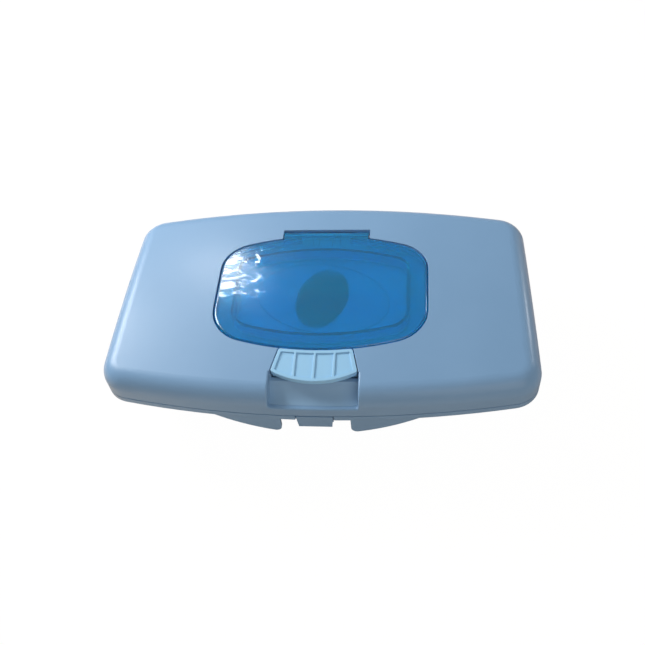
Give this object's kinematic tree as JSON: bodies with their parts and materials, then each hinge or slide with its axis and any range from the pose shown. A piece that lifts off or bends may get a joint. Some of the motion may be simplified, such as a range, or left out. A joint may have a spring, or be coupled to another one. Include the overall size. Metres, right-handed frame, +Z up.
{
  "type": "countertop wipes dispenser",
  "caption": "Shallow blue plastic wipes case with a crowned hinged lid and a push-button flip-up hatch over the dispensing opening.",
  "frame": {"origin": "on the surface it stands on, under the middle of the bounding box", "axes": "+X to the dispenser's right (its long way), -Y to its front with the button and latch, +Z up"},
  "size_m": [0.2096, 0.1332, 0.0563],
  "materials": {
    "case_plastic": "satin moulded",
    "tray_plastic": "satin moulded",
    "insert_plastic": "satin moulded",
    "hatch_plastic": "clear tinted, glossy",
    "button_plastic": "satin moulded",
    "seal_rubber": "matt",
    "foot_rubber": "matt",
    "pin_steel": "drawn wire",
    "spring_steel": "spring wire"
  },
  "bodies": {
    "tub": {"tub_shell": "case_plastic", "foot_front_left": "foot_rubber", "foot_front_right": "foot_rubber", "foot_rear_left": "foot_rubber", "foot_rear_right": "foot_rubber", "tub_gasket": "seal_rubber", "hinge_pin_left": "pin_steel", "hinge_pin_right": "pin_steel", "latch_pin": "pin_steel", "latch_spring": "spring_steel"},
    "lid": {"lid_cover": "case_plastic", "dispensing_tray": "tray_plastic", "orifice_insert": "insert_plastic", "orifice_retainer": "insert_plastic", "hatch_gasket": "seal_rubber", "hatch_rod": "pin_steel", "hatch_spring_left": "spring_steel", "hatch_spring_right": "spring_steel", "button_pin": "pin_steel", "button_spring": "spring_steel"},
    "hatch": {"hatch_shell": "hatch_plastic"},
    "button": {"push_button": "button_plastic"},
    "latch": {"lid_latch": "case_plastic"}
  },
  "joints": [
    {"name": "lid_hinge", "type": "hinge", "parent": "tub", "child": "lid", "pos_m": [0, 0.0636, 0.038], "axis": [-1, 0, 0], "range_deg": [0, 105]},
    {"name": "hatch_hinge", "type": "hinge", "parent": "lid", "child": "hatch", "pos_m": [0, 0.0351, 0.0531], "axis": [-1, 0, 0], "range_deg": [0, 105]},
    {"name": "button_press", "type": "hinge", "parent": "lid", "child": "button", "pos_m": [0, -0.0452, 0.0455], "axis": [1, 0, 0], "range_deg": [0, 9], "stiffness_Nm_per_rad": 0.15, "springref_deg": -5.73, "deforming": ["button_spring"]},
    {"name": "latch_pull", "type": "hinge", "parent": "tub", "child": "latch", "pos_m": [0, -0.0628, 0.0334], "axis": [-1, 0, 0], "range_deg": [0, 10], "stiffness_Nm_per_rad": 0.05, "springref_deg": -5.73}
  ]
}
